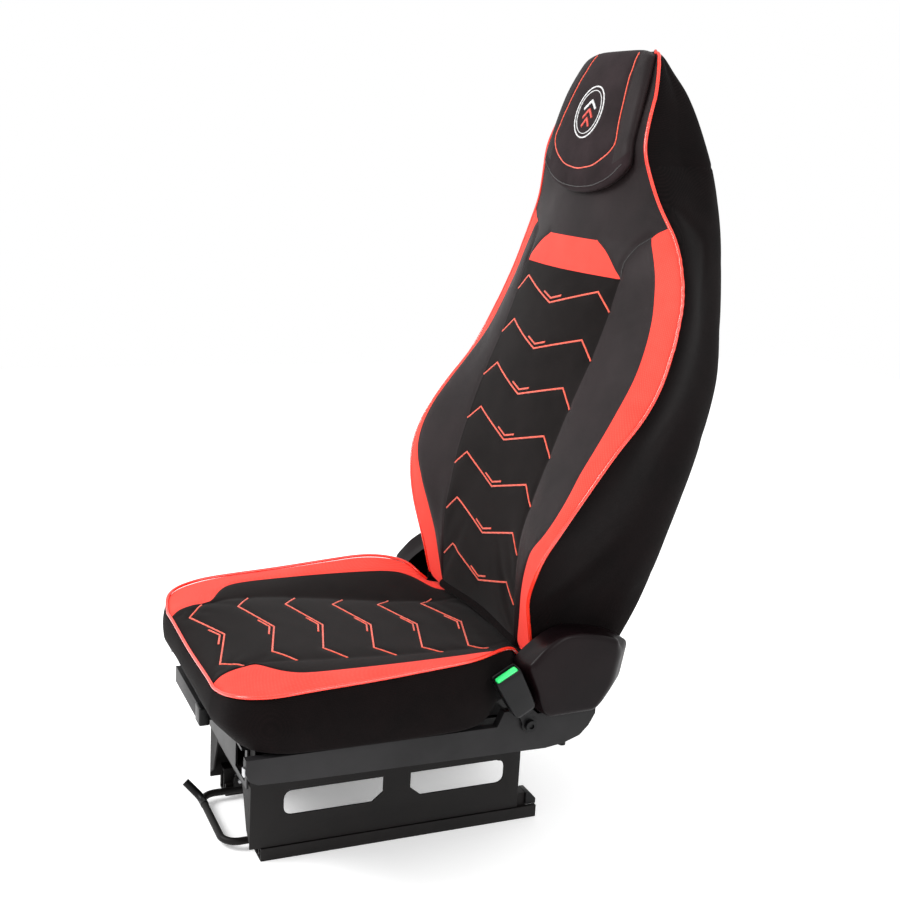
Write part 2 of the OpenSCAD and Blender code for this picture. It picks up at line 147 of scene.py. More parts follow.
def get_points(obj):
    co = np.empty(len(obj.data.vertices) * 3)
    obj.data.vertices.foreach_get("co", co)
    return co.reshape(-1, 3)


def set_points(obj, co):
    obj.data.vertices.foreach_set("co", np.asarray(co, float).ravel())
    obj.data.update()


def ring_faces(rings, count, first_cap=True, last_cap=True):
    """Faces of a skin over rings of count points each, with flat ends where asked."""
    faces = [(j * count + k, j * count + (k + 1) % count,
              (j + 1) * count + (k + 1) % count, (j + 1) * count + k)
             for j in range(rings - 1) for k in range(count)]
    if first_cap:
        faces.append(tuple(range(count))[::-1])
    if last_cap:
        faces.append(tuple((rings - 1) * count + k for k in range(count)))
    return faces


def close_across(base, count, start=0):
    """Faces that close a ring of points left to right. The ring is its own mirror image
    about the point start."""
    faces = []
    for step in range(count // 2):
        corners = [(start + step) % count, (start + step + 1) % count,
                   (start - step - 1) % count, (start - step) % count]
        faces.append(tuple(base + k for k in dict.fromkeys(corners)))
    return faces


def grid_rim(rows, columns):
    """The (row, column) places round the edge of a grid with so many cells."""
    return ([(0, i) for i in range(columns)] + [(j, columns) for j in range(rows)]
            + [(rows, i) for i in range(columns, 0, -1)] + [(j, 0) for j in range(rows, 0, -1)])


def apply_modifiers(obj):
    """Replaces the object's mesh with its evaluated mesh."""
    graph = bpy.context.evaluated_depsgraph_get()
    mesh = bpy.data.meshes.new_from_object(obj.evaluated_get(graph))
    obj.modifiers.clear()
    obj.data = mesh


def subdivide(obj):
    modifier = obj.modifiers.new("subdivide", "SUBSURF")
    modifier.levels = 1
    modifier.render_levels = 1
    apply_modifiers(obj)


def fix_normals(obj):
    work = bmesh.new()
    work.from_mesh(obj.data)
    bmesh.ops.recalc_face_normals(work, faces=work.faces)
    work.to_mesh(obj.data)
    work.free()


def tree_of(obj):
    """Ray-cast tree of an object's mesh, in metres."""
    mesh = obj.data
    return BVHTree.FromPolygons([v.co for v in mesh.vertices],
                                [tuple(p.vertices) for p in mesh.polygons])


def tube(name, points_mm, radius, material, normals=None, sides=10):
    """A round tube along a path. The normals, if given, set how its ring of points is
    turned."""
    points = np.array(points_mm, float)
    ahead = np.roll(points, -1, 0) - np.roll(points, 1, 0)
    ahead[0] = points[1] - points[0]
    ahead[-1] = points[-1] - points[-2]
    ahead = unit(ahead)
    if normals is None:
        up = np.tile([0.0, 0.0, 1.0], (len(points), 1))
        steep = np.abs(ahead[:, 2]) > 0.95
        up[steep] = [0.0, 1.0, 0.0]
    else:
        up = np.array(normals, float)
    side = unit(np.cross(ahead, up))
    up = np.cross(side, ahead)
    angle = np.linspace(0, 2 * math.pi, sides, endpoint=False)[None, :, None]
    ring = side[:, None] * np.cos(angle) + up[:, None] * np.sin(angle)
    verts = (points[:, None] + radius * ring).reshape(-1, 3)
    return make_object(name, verts, ring_faces(len(points), sides), [material])


def join(name, objects):
    """Joins mesh objects that share the frame into one."""
    target = objects[0]
    with bpy.context.temp_override(active_object=target, selected_editable_objects=objects):
        bpy.ops.object.join()
    target.name = name
    return target


def finish_piece(obj, body, slot, *nodes):
    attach(obj, body)
    if nodes:
        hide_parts(*nodes)
    return obj


# ---------------------------------------------------------------- materials

def new_material(name, colour, roughness, metallic=0.0, sheen=0.0, coat=0.0, specular=0.5):
    """A Principled material with its constants set on the shader's own sockets."""
    material = bpy.data.materials.new(name)
    material.use_nodes = True
    shader = material.node_tree.nodes["Principled BSDF"]
    shader.inputs["Base Color"].default_value = (*colour, 1)
    shader.inputs["Roughness"].default_value = roughness
    shader.inputs["Metallic"].default_value = metallic
    shader.inputs["Sheen Weight"].default_value = sheen
    shader.inputs["Sheen Roughness"].default_value = 0.5
    shader.inputs["Coat Weight"].default_value = coat
    shader.inputs["Specular IOR Level"].default_value = specular
    return material


class Nodes:
    """Short calls for building a procedural material."""

    def __init__(self, material):
        self.tree = material.node_tree
        self.shader = self.tree.nodes["Principled BSDF"]
        coords = self.tree.nodes.new("ShaderNodeTexCoord")
        self.position = coords.outputs["Object"]

    def link(self, value, socket):
        if hasattr(value, "is_output"):
            self.tree.links.new(value, socket)
        else:
            socket.default_value = value

    def turned(self, turn):
        mapping = self.tree.nodes.new("ShaderNodeMapping")
        self.tree.links.new(self.position, mapping.inputs["Vector"])
        mapping.inputs["Rotation"].default_value = turn
        return mapping.outputs["Vector"]

    def noise(self, scale, detail=2.0, roughness=0.5):
        node = self.tree.nodes.new("ShaderNodeTexNoise")
        self.tree.links.new(self.position, node.inputs["Vector"])
        node.inputs["Scale"].default_value = scale
        node.inputs["Detail"].default_value = detail
        node.inputs["Roughness"].default_value = roughness
        return node.outputs["Fac"]

    def cell_edges(self, scale):
        node = self.tree.nodes.new("ShaderNodeTexVoronoi")
        node.feature = "DISTANCE_TO_EDGE"
        self.tree.links.new(self.position, node.inputs["Vector"])
        node.inputs["Scale"].default_value = scale
        return node.outputs["Distance"]

    def waves(self, vector, direction, scale):
        node = self.tree.nodes.new("ShaderNodeTexWave")
        node.bands_direction = direction
        self.tree.links.new(vector, node.inputs["Vector"])
        node.inputs["Scale"].default_value = scale
        return node.outputs["Fac"]

    def math(self, operation, a, b=0.0):
        node = self.tree.nodes.new("ShaderNodeMath")
        node.operation = operation
        self.link(a, node.inputs[0])
        self.link(b, node.inputs[1])
        return node.outputs[0]

    def remap(self, value, low, high, out_low=0, out_high=1):
        node = self.tree.nodes.new("ShaderNodeMapRange")
        self.link(value, node.inputs["Value"])
        for name, number in (("From Min", low), ("From Max", high),
                             ("To Min", out_low), ("To Max", out_high)):
            node.inputs[name].default_value = number
        return node.outputs["Result"]

    def blend(self, factor, dark, light):
        """Base colour: dark where the factor is 0 and light where it is 1."""
        node = self.tree.nodes.new("ShaderNodeMix")
        node.data_type = "RGBA"
        factor_socket, dark_socket, light_socket = (node.inputs[k] for k in (0, 6, 7))
        self.link(factor, factor_socket)
        dark_socket.default_value = (*dark, 1)
        light_socket.default_value = (*light, 1)
        self.tree.links.new(node.outputs[2], self.shader.inputs["Base Color"])

    def roughness(self, value):
        self.link(value, self.shader.inputs["Roughness"])

    def bump(self, height, distance_mm, strength):
        node = self.tree.nodes.new("ShaderNodeBump")
        node.inputs["Strength"].default_value = strength
        node.inputs["Distance"].default_value = distance_mm * MM
        self.link(height, node.inputs["Height"])
        self.tree.links.new(node.outputs["Normal"], self.shader.inputs["Normal"])


def cloth_material(name, dark, light, pitch_mm, roughness, sheen, depth_mm):
    """Woven or knitted fabric with two crossed sets of yarns, mottling and fuzz."""
    material = new_material(name, light, roughness, sheen=sheen, specular=0.08)
    n = Nodes(material)
    vector = n.turned((0.5, 0.6, 0.35))
    bands = 2 * math.pi / (20 * pitch_mm * MM)
    weave = n.math("MULTIPLY", n.waves(vector, "X", bands), n.waves(vector, "Z", bands))
    mottle = n.noise(18, 3, 0.6)
    fibre = n.noise(900, 2, 0.6)
    tone = n.math("ADD", n.math("MULTIPLY", weave, 0.55), n.math("MULTIPLY", mottle, 0.6))
    n.blend(n.remap(tone, 0.2, 0.85), dark, light)
    n.roughness(n.remap(fibre, 0.3, 0.7, roughness - 0.08, min(1.0, roughness + 0.08)))
    n.bump(n.math("ADD", weave, n.math("MULTIPLY", fibre, 0.25)), depth_mm, 0.6)
    return material


def leather_material(name, dark, light, roughness):
    """Leatherette with a pebble grain, faint creases and hand-worn sheen."""
    material = new_material(name, light, roughness, sheen=0.02, specular=0.16)
    n = Nodes(material)
    pebble = n.remap(n.cell_edges(1 / (1.4 * MM)), 0.0, 0.12)
    wear = n.noise(9, 4, 0.6)
    crease = n.noise(60, 4, 0.6)
    n.blend(n.remap(wear, 0.3, 0.7), dark, light)
    n.roughness(n.remap(wear, 0.3, 0.7, roughness + 0.07, roughness - 0.07))
    n.bump(n.math("ADD", pebble, n.math("MULTIPLY", crease, 0.8)), 0.16, 0.55)
    return material


def suede_material(name, dark, light):
    """Brushed suede: short nap with cloudy marks where it has been stroked."""
    material = new_material(name, light, 0.95, sheen=0.06, specular=0.05)
    n = Nodes(material)
    cloud = n.noise(14, 5, 0.65)
    nap = n.noise(1500, 2, 0.7)
    tone = n.math("ADD", n.math("MULTIPLY", cloud, 0.8), n.math("MULTIPLY", nap, 0.35))
    n.blend(n.remap(tone, 0.35, 0.8), dark, light)
    n.bump(nap, 0.18, 0.5)
    return material


def plastic_material(name, dark, light, roughness, grain_mm=0.7, specular=0.5):
    """Moulded plastic: fine spark-eroded grain, rubbed smoother in patches."""
    material = new_material(name, light, roughness, specular=specular)
    n = Nodes(material)
    grain = n.noise(1 / (grain_mm * MM), 2, 0.6)
    rub = n.noise(7, 4, 0.55)
    n.blend(n.remap(rub, 0.3, 0.7), dark, light)
    n.roughness(n.remap(rub, 0.3, 0.7, roughness + 0.06, roughness - 0.06))
    n.bump(grain, 0.06, 0.5)
    return material


def steel_material(name, dark, light, roughness, metallic):
    """Coated or plated steel with orange peel, dust and rubbed patches."""
    material = new_material(name, light, roughness, metallic=metallic, specular=0.2)
    n = Nodes(material)
    dust = n.noise(23, 5, 0.65)
    n.blend(n.remap(dust, 0.35, 0.75), dark, light)
    n.roughness(n.remap(dust, 0.3, 0.75, roughness - 0.06, roughness + 0.12))
    n.bump(n.noise(420), 0.05, 0.4)
    return material


def thread_material(name, colour, roughness=0.55):
    """Sewing or embroidery thread: fine twist lines with a little shine."""
    material = new_material(name, colour, roughness, sheen=0.3, specular=0.4)
    n = Nodes(material)
    twist = n.waves(n.turned((0.4, 0.7, 0.3)), "DIAGONAL", 60)
    n.blend(n.remap(twist, 0, 1), tuple(c * 0.72 for c in colour), colour)
    n.bump(twist, 0.12, 0.5)
    return material


def vinyl_material(name):
    """Glossy red vinyl with clouds of a darker red and a fine grain."""
    material = new_material(name, (0.93, 0.04, 0.02), 0.22, coat=0.5)
    n = Nodes(material)
    n.blend(n.noise(30, 3), (0.80, 0.018, 0.010), (0.95, 0.05, 0.022))
    n.bump(n.noise(700), 0.08, 0.5)
    return material


coral_cloth = cloth_material("coral_mesh_cloth", (0.84, 0.052, 0.036),
                             (0.96, 0.085, 0.062), 2.6, 0.75, 0.05, 0.45)
black_cloth = cloth_material("black_cloth", (0.0010, 0.0005, 0.0005),
                             (0.0060, 0.0030, 0.0031), 1.3, 0.9, 0.02, 0.25)
suede = suede_material("insert_suede", (0.0035, 0.0024, 0.0023), (0.0095, 0.0072, 0.0070))
leather = leather_material("grey_leatherette", (0.0055, 0.0027, 0.0031),
                           (0.0120, 0.0058, 0.0066), 0.50)
strip_cloth = cloth_material("grey_cloth", (0.0045, 0.0031, 0.0030), (0.012, 0.0086, 0.0083),
                             1.1, 0.85, 0.03, 0.2)
head_suede = suede_material("head_suede", (0.0090, 0.0054, 0.0061),
                            (0.0255, 0.0167, 0.0186))
piping_vinyl = vinyl_material("red_piping_vinyl")
coral_thread = thread_material("coral_thread", (0.93, 0.085, 0.032))
black_thread = thread_material("black_thread", (0.004, 0.003, 0.003), 0.7)
white_thread = thread_material("white_thread", (0.82, 0.82, 0.82))
red_thread = thread_material("red_thread", (0.72, 0.035, 0.012))
black_steel = steel_material("black_powder_coat", (0.0022, 0.0016, 0.0015),
                             (0.0062, 0.0048, 0.0046), 0.52, 0.0)
zinc = steel_material("zinc_plate", (0.42, 0.42, 0.43), (0.62, 0.62, 0.63), 0.38, 1.0)
trim_plastic = plastic_material("grey_trim_plastic", (0.0070, 0.0066, 0.0070),
                                (0.0150, 0.0142, 0.0150), 0.50, specular=0.22)
cover_plastic = plastic_material("recliner_cover_plastic", (0.0030, 0.0014, 0.0018),
                                 (0.0070, 0.0030, 0.0036), 0.36, specular=0.12)
black_plastic = plastic_material("black_plastic", (0.0018, 0.0018, 0.0020),
                                 (0.0042, 0.0041, 0.0045), 0.38, specular=0.20)
green_plastic = plastic_material("green_button_plastic", (0.02, 0.62, 0.13),
                                 (0.04, 0.80, 0.20), 0.30, 0.5)


# ---------------------------------------------------------------- cloth simulation

SWELL_FRAMES = 20


def pin_and_swell(obj, pinned, pressure, cap_mm):
    """Runs Cloth with air pressure inside. Pinned points stay, and no point ends more
    than cap_mm from where it began."""
    start = get_points(obj)
    group = obj.vertex_groups.new(name="pins")
    group.add(np.nonzero(pinned)[0].tolist(), 1.0, "REPLACE")
    cloth = obj.modifiers.new("swell", "CLOTH")
    settings = cloth.settings
    settings.quality = 5
    settings.mass = 0.25
    settings.tension_stiffness = 12
    settings.compression_stiffness = 12
    settings.shear_stiffness = 6
    settings.bending_stiffness = 0.6
    settings.use_pressure = True
    settings.uniform_pressure_force = pressure
    settings.vertex_group_mass = "pins"
    settings.effector_weights.gravity = 0
    cloth.collision_settings.use_collision = False
    cloth.collision_settings.use_self_collision = False
    cloth.point_cache.frame_start = 1
    cloth.point_cache.frame_end = SWELL_FRAMES
    for number in range(1, SWELL_FRAMES + 1):
        scene.frame_set(number)
    graph = bpy.context.evaluated_depsgraph_get()
    swollen = obj.evaluated_get(graph).to_mesh()
    end = np.empty(len(swollen.vertices) * 3)
    swollen.vertices.foreach_get("co", end)
    move = end.reshape(-1, 3) - start
    size = np.linalg.norm(move, axis=1)
    cap = cap_mm * MM
    tiny = 1e-9
    share = np.where(size > tiny, cap * np.tanh(size / cap) / np.maximum(size, tiny), 1)
    move *= share[:, None]
    obj.modifiers.clear()
    obj.vertex_groups.clear()
    set_points(obj, start + move)
    scene.frame_set(1)


def get_normals(obj):
    return np.array([v.normal for v in obj.data.vertices])


def ripple(obj, mask, amount_mm, size_mm, seed):
    """Gentle unevenness of stretched cloth, along the normals, where mask is above 0."""
    co = get_points(obj)
    normals = get_normals(obj)
    shift = Vector((seed * 7.3, seed * 3.1, seed * 5.7))
    for i in np.nonzero(mask > 0)[0]:
        point = Vector(co[i]) / (size_mm * MM) + shift
        co[i] += normals[i] * noise.noise(point) * amount_mm * MM * mask[i]
    set_points(obj, co)


def sink_seams(obj, on_seam, depth_mm):
    """Pulls seam points in along their normals, which leaves a sewn valley."""
    press = on_seam.ravel() * depth_mm * MM
    set_points(obj, get_points(obj) - get_normals(obj) * press[:, None])


def groove_along(obj, lines_mm, depth_mm, width_mm, on_top=False):
    """Presses stitched lines into the surface. Each line is a polyline in x and z and
    acts on the front, or in x and y and acts on the top."""
    co = get_points(obj)
    flat = co[:, (0, 1) if on_top else (0, 2)] / MM
    normals = get_normals(obj)
    facing = normals[:, 2] > 0.5 if on_top else normals[:, 1] < -0.5
    nearest = np.full(len(co), 1e9)
    for line in np.array(lines_mm, float):
        for a, b in zip(line[:-1], line[1:]):
            t = np.clip(((flat - a) @ (b - a)) / ((b - a) @ (b - a)), 0, 1)
            gap = np.linalg.norm(flat - a - t[:, None] * (b - a), axis=1)
            nearest = np.minimum(nearest, gap)
    press = depth_mm * np.exp(-(nearest / width_mm) ** 2) * facing
    set_points(obj, co - normals * (press * MM)[:, None])


# ---------------------------------------------------------------- stitching

def lay_on(tree, line, direction, far, lift, step=2.0):
    """Drops a polyline onto a mesh along a direction. The line lies in the plane of the
    other two axes. Returns the points in millimetres and the surface's normals."""
    axis = int(np.argmax(np.abs(direction)))
    others = [k for k in range(3) if k != axis]
    direction = Vector(direction)
    places = []
    line = np.array(line, float)
    for a, b in zip(line[:-1], line[1:]):
        count = max(1, int(np.linalg.norm(b - a) / step))
        places += [a + (b - a) * t for t in np.linspace(0, 1, count, endpoint=False)]
    places.append(line[-1])
    points, normals = [], []
    for place in places:
        origin = np.full(3, far * MM)
        origin[others] = place * MM
        hit, normal, _, _ = tree.ray_cast(Vector(origin), direction)
        if hit is None:
            continue
        if normal.dot(direction) > 0:
            normal = -normal
        points.append(np.array(hit) / MM + np.array(normal) * lift)
        normals.append(np.array(normal))
    return np.array(points), np.array(normals)


def nearest_on(tree, guesses_mm):
    """The mesh's closest points, in millimetres, and the surface's normals there."""
    hits = [tree.find_nearest(Vector(guess) * MM) for guess in guesses_mm]
    points = np.array([np.array(hit[0]) / MM for hit in hits])
    return points, np.array([np.array(hit[1]) for hit in hits])


def satin_line(name, points, normals, width, material, pitch=1.3):
    """A raised line of thread: close slanting stitches laid across a path."""
    length = run_length(points)
    t = np.linspace(0, length[-1], max(2, int(length[-1] / pitch)))
    centre = resample(points, length, t)
    up = resample(normals, length, t)
    ahead = unit(np.gradient(centre, axis=0))
    side = unit(np.cross(up, ahead))
    slant = unit(side + 0.35 * ahead)
    thick = pitch * 0.62
    section = ((-0.5, -0.5, 1), (-0.28, 0.7, 0.8), (0.28, 0.7, 0.8), (0.5, -0.5, 1))
    verts, faces = [], []
    for c, u, a, w in zip(centre, up, ahead, slant):
        base = len(verts)
        for reach, high, taper in section:
            for along in (-thick, thick):
                verts.append(c + w * reach * width + u * high + a * along * taper)
        for k in range(3):
            q = base + 2 * k
            faces.append((q, q + 1, q + 3, q + 2))
        for ends in ((0, 2, 4, 6), (1, 7, 5, 3), (0, 6, 7, 1)):
            faces.append(tuple(base + k for k in ends))
    return make_object(name, verts, faces, [material])


def chevron_stitching(name, prefix, tree, chevrons, direction, far):
    """The coral stitching of all the chevrons of one cover, as one piece."""
    pieces = []
    for number, chevron in enumerate(chevrons):
        for suffix, line in zip(("main", "twin"), chevron):
            points, normals = lay_on(tree, line, direction, far, 0.3)
            pieces.append(satin_line(f"{prefix}_{number}_{suffix}", points, normals, 3.4,
                                     coral_thread))
    return join(name, pieces)


def chevron(corners, tip, twin_reach, twin_shift):
    """Stitch line with a tip on the middle line and mirrored corners, outermost last,
    and its short twin, which runs beside the tip."""
    main = [(-x, v) for x, v in reversed(corners)] + [(0, tip)] + corners
    slope = (corners[0][1] - tip) / corners[0][0]
    end = tip + twin_shift + twin_reach * slope
    twin = [(-twin_reach, end), (0, tip + twin_shift), (twin_reach, end)]
    return main, twin


# ---------------------------------------------------------------- backrest

BACK_LOW = 303.0        # height of the lower edge
CURL = 22               # height of the stretch above it that curls in
CROWN = 1154            # height where the top begins to round over
CROWN_RISE = 22
SHOULDER = 852.0        # height of the shoulder seam at the insert
PANEL_TOP = 901.0       # upper edge of the coral panel above the insert
NECK = 982.0            # seam round the neck

CENTRE_Y = [(312, 160), (436, 160), (511, 171), (585, 188), (657, 207), (728, 228),
            (799, 249), (900, 276), (1000, 300), (1040, 306), (1100, 318), (1150, 335),
            (1176, 345)]
INSERT_X = [(312, 137), (434, 137), (478, 135), (522, 140), (600, 146), (740, 150),
            (846, 150), (852, 149), (863, 135), (874, 121), (885, 106), (893, 92), (899, 78),
            (902, 70), (920, 68), (960, 64), (1176, 48)]
INSERT_RISE = [(312, -6), (434, -9), (511, -7), (600, -1), (672, 5), (737, 12), (791, 15),
               (852, 16), (960, 14), (1040, 6), (1150, 1), (1176, 1)]
BAND_X = [(312, 143), (354, 154), (394, 164), (434, 183), (474, 209), (500, 234),
          (527, 252), (560, 262), (600, 262), (640, 258), (675, 252), (722, 244), (763, 237),
          (802, 228), (831, 218), (868, 204), (914, 178), (960, 152), (1000, 132),
          (1040, 121), (1100, 104), (1150, 86), (1176, 66)]
BAND_Y = [(312, 157), (354, 152), (394, 147), (434, 141), (474, 137), (527, 145), (588, 171),
          (630, 198), (675, 229), (722, 259), (763, 277), (802, 290), (831, 297), (868, 303),
          (914, 307), (960, 306), (1000, 302), (1040, 304), (1100, 319), (1150, 337),
          (1176, 346)]
PIPE_X = [(312, 196), (354, 200), (394, 208), (434, 230), (474, 252), (514, 274), (554, 286),
          (594, 290), (674, 290), (714, 289), (754, 283), (794, 274), (834, 263), (874, 246),
          (914, 222), (954, 188), (994, 166), (1034, 150), (1074, 138), (1114, 126),
          (1154, 108), (1168, 98), (1176, 80)]
PIPE_Y = [(312, 155), (354, 146), (394, 137), (434, 133), (474, 135), (514, 145), (554, 163),
          (594, 188), (634, 217), (674, 250), (714, 273), (754, 290), (794, 304), (834, 315),
          (874, 320), (914, 321), (954, 315), (994, 308), (1034, 304), (1074, 314),
          (1114, 329), (1154, 341), (1176, 349)]
REAR_X = [(312, 196), (390, 203), (480, 215), (600, 215), (700, 205), (800, 190), (900, 165),
          (980, 142), (1054, 125), (1115, 112), (1149, 98), (1168, 88), (1176, 70)]
REAR_Y = [(312, 298), (378, 331), (485, 362), (621, 403), (711, 426), (785, 432), (912, 440),
          (982, 437), (1054, 419), (1115, 393), (1149, 371), (1168, 358), (1176, 353)]
REAR_BULGE = [(312, 6), (420, 10), (1115, 10), (1149, 5), (1176, 1)]
SHOULDER_SEAM = [(0, 852), (1, 852), (1.3, 875), (1.5, 887), (1.7, 898), (1.88, 908),
                 (2, 914), (2.45, 923), (3, 931), (4, 935), (6, 935)]
CHEVRON_TIPS = (799, 728, 657, 585, 511, 436, 358)

# material slots of the two covers
INSERT, SIDE, CORAL, GREY = range(4)


def back_keys(z):
    """The seven key points of the half section at height z, as arrays of x and y."""
    zero = np.zeros_like(z)
    centre = curve(CENTRE_Y, z)
    # the insert's half width, had it not narrowed over the shoulder
    full_width = curve([(312, 137), (600, 146), (852, 149), (1176, 149)], z)
    pipe_x, pipe_y = curve(PIPE_X, z), curve(PIPE_Y, z)
    rear_x, rear_y = curve(REAR_X, z), curve(REAR_Y, z)
    insert_x = curve(INSERT_X, z)
    share = (insert_x / np.maximum(full_width, 1)) ** 2
    x = [zero, insert_x, curve(BAND_X, z), pipe_x, (pipe_x + rear_x) / 2 + 3, rear_x, zero]
    y = [centre, centre + curve(INSERT_RISE, z) * share, curve(BAND_Y, z), pipe_y,
         (pipe_y + rear_y) / 2, rear_y, rear_y + curve(REAR_BULGE, z)]
    return np.stack(x), np.stack(y)


def slopes(v, gaps, start, end):
    """Slopes at key points along a section, with the given slopes at its ends."""
    m = np.empty_like(v)
    m[1:-1] = (v[2:] - v[:-2]) / (gaps[1:] + gaps[:-1])
    m[0] = (v[1] - v[0]) / gaps[0] if start is None else start
    m[-1] = (v[-1] - v[-2]) / gaps[-1] if end is None else end
    return m


def back_point(s, z):
    """A point of the half section: s from 0 at the centre of the front, 1 at the
    insert's seam, 2 at the band's inner seam, 3 at the piping, 4 on the side, 5 at the
    rear corner, to 6 at the centre of the rear."""
    x, y = back_keys(z)
    front = s <= 3
    out = np.zeros((2,) + s.shape)
    for rows, first, last in ((front, 0, 3), (~front, 3, 6)):
        kx, ky = x[first:last + 1][:, rows], y[first:last + 1][:, rows]
        gaps = np.maximum(np.hypot(np.diff(kx, axis=0), np.diff(ky, axis=0)), 1.0)
        if first == 0:
            mx = slopes(kx, gaps, 1.0, None)
            my = slopes(ky, gaps, 0.0, None)
        else:
            mx = slopes(kx, gaps, 0.12, -1.0)
            my = slopes(ky, gaps, 0.99, 0.0)
        i = np.clip(np.floor(s[rows]).astype(int) - first, 0, 2)
        t = s[rows] - first - i
        cols = np.arange(t.size)
        h = gaps[i, cols]
        for k, (v, m) in enumerate(((kx, mx), (ky, my))):
            out[k][rows] = hermite(v[i, cols], v[i + 1, cols],
                                   m[i, cols] * h, m[i + 1, cols] * h, t)
    return out


def split(counts):
    """Column positions with the given number of cells between successive seams."""
    cells = [np.linspace(i, i + 1, n, endpoint=False) for i, n in enumerate(counts)]
    return np.concatenate(cells + [[len(counts)]])


def shoulder_height(s):
    """Height at which the shoulder's seam crosses the column s."""
    seam_s, seam_z = np.array(SHOULDER_SEAM, float).T
    return np.interp(s, seam_s, seam_z)


def make_backrest():
    columns = split((20, 15, 8, 9, 9, 12))
    half = len(columns)
    s = np.concatenate([columns, columns[-2:0:-1]])
    side = np.concatenate([np.ones(half), -np.ones(len(s) - half)])
    spans = ((BACK_LOW, SHOULDER, 84), (SHOULDER, PANEL_TOP, 9), (PANEL_TOP, NECK, 13),
             (NECK, CROWN, 26))
    rows = np.concatenate([np.linspace(low, high, count, endpoint=False)
                           for low, high, count in spans]
                          + [CROWN + CROWN_RISE * np.sin(np.linspace(0, 0.46 * math.pi, 8))])
    seam_row, panel_row, neck_row, _ = np.cumsum([count for _, _, count in spans])
    grid_s, grid_z = np.meshgrid(s, rows)
    near_seam = smooth_step(1 - np.abs(grid_z - SHOULDER) / 230)
    grid_z = grid_z + (shoulder_height(grid_s) - SHOULDER) * near_seam
    at_foot = smooth_step(1 - (grid_z - BACK_LOW) / 70)
    grid_z = grid_z - 6 * at_foot * smooth_step((grid_s - 1.7) / 0.4)
    xy = back_point(grid_s.ravel(), grid_z.ravel())
    x = xy[0].reshape(grid_s.shape) * side
    y = xy[1].reshape(grid_s.shape)

    # the lower rim curls in, as a cover does round its foam
    middle = (y.min(1) + y.max(1)) / 2
    curl = np.clip((rows - BACK_LOW) / CURL, 0, 1)
    tuck = 1 - 0.10 * (1 - np.sqrt(1 - (1 - curl) ** 2))
    y = middle[:, None] + (y - middle[:, None]) * tuck[:, None]
    x = x * (1 - 0.06 * (1 - tuck) / 0.10)[:, None]

    points = np.stack([x, y, grid_z], -1).reshape(-1, 3)
    n, m = len(s), len(rows)
    faces, parts = [], []
    pinned = np.zeros((m, n), bool)
    for j in range(m - 1):
        for i in range(n):
            k = (i + 1) % n
            faces.append((j * n + i, j * n + k, (j + 1) * n + k, (j + 1) * n + i))
            here = (s[i] + s[k]) / 2
            if here > 3:
                parts.append(SIDE)
            elif j >= seam_row:
                parts.append(CORAL if here < 1 and j < panel_row else GREY)
            elif here < 1:
                parts.append(INSERT)
            else:
                parts.append(GREY if here < 2 else CORAL)
    for j in (0, m - 1):
        caps = close_across(j * n, n)
        faces += caps
        parts += [SIDE] * len(caps)
    pinned[0] = pinned[-1] = True
    pinned[:, s == 3] = True
    pinned[:panel_row + 1, s == 1] = True
    pinned[:seam_row + 1, s == 2] = True
    pinned[panel_row, s <= 1] = True
    pinned[seam_row, s <= 3] = True
    pinned[neck_row, s >= 2] = True
    rear = s >= 5.4
    pinned[:, rear] |= (np.arange(m) % 3 == 0)[:, None]

    back = make_object("backrest_cover", points, faces,
                       [suede, black_cloth, coral_cloth, leather], parts)
    fix_normals(back)
    on_seam = pinned.copy()
    on_seam[:, rear] = False
    return back, pinned.ravel(), on_seam, grid_s.ravel()


def shoulder_line(turn):
    """The seam from the insert up over the shoulder to the band, in x and z."""
    s = np.linspace(1.0, 2.0, 14)
    z = shoulder_height(s)
    x, _ = back_point(s, z)
    return np.stack([turn * x, z], 1)


def back_chevron(tip):
    """One chevron of the back, in x and z."""
    reach = 132 + 16 * smooth_step((tip - 420) / 200)
    corner = 102 + 11 * smooth_step((tip - 350) / 300)
    return chevron([(corner, tip + 30), (reach, tip + 5)], tip, 27, 7)


back, back_pins, back_seams, back_s = make_backrest()
back_chevrons = [back_chevron(tip) for tip in CHEVRON_TIPS]
shoulders = [shoulder_line(1), shoulder_line(-1)]
sink_seams(back, back_seams, 1.6)
pin_and_swell(back, back_pins, 2.2, 4.5)
groove_along(back, [main for main, _ in back_chevrons], 1.8, 5.0)
groove_along(back, shoulders, 3.2, 5.0)
ripple(back, back_s > 3.3, 1.6, 95, 1)
subdivide(back)
back_tree = tree_of(back)
back_stitching = chevron_stitching("back_chevron_stitching", "stitch", back_tree,
                                   back_chevrons, (0, 1, 0), 0)
shoulder_stitching = join("shoulder_seam_stitching", [
    satin_line(f"shoulder_seam_{number}", *lay_on(back_tree, line, (0, 1, 0), 0, 0.0), 2.0,
               black_thread, 2.4)
    for number, line in enumerate(shoulders)])


def piping_side():
    """The piping of one side: up the edge, round the corner and in behind the head pad."""
    z = np.concatenate([np.arange(308, 1148, 6), [1151, 1156, 1161]])
    x, y = back_point(np.full(len(z), 3.0), z.astype(float))
    corner_y = curve(PIPE_Y, 1172) + 1
    over = [(x, corner_y, 1178 - (x / 66) ** 3 * 2.5) for x in np.linspace(96, 81, 4)]
    path, out = nearest_on(back_tree, [*zip(x, y, z), *over])
    relax(path)
    return path, out


pipe_path, pipe_out = piping_side()
back_piping = join("back_piping", [
    tube(f"back_piping_{side}", (pipe_path + pipe_out * 1.4) * [turn, 1, 1], 2.5,
         piping_vinyl, normals=pipe_out * [turn, 1, 1])
    for side, turn in (("left", 1), ("right", -1))])


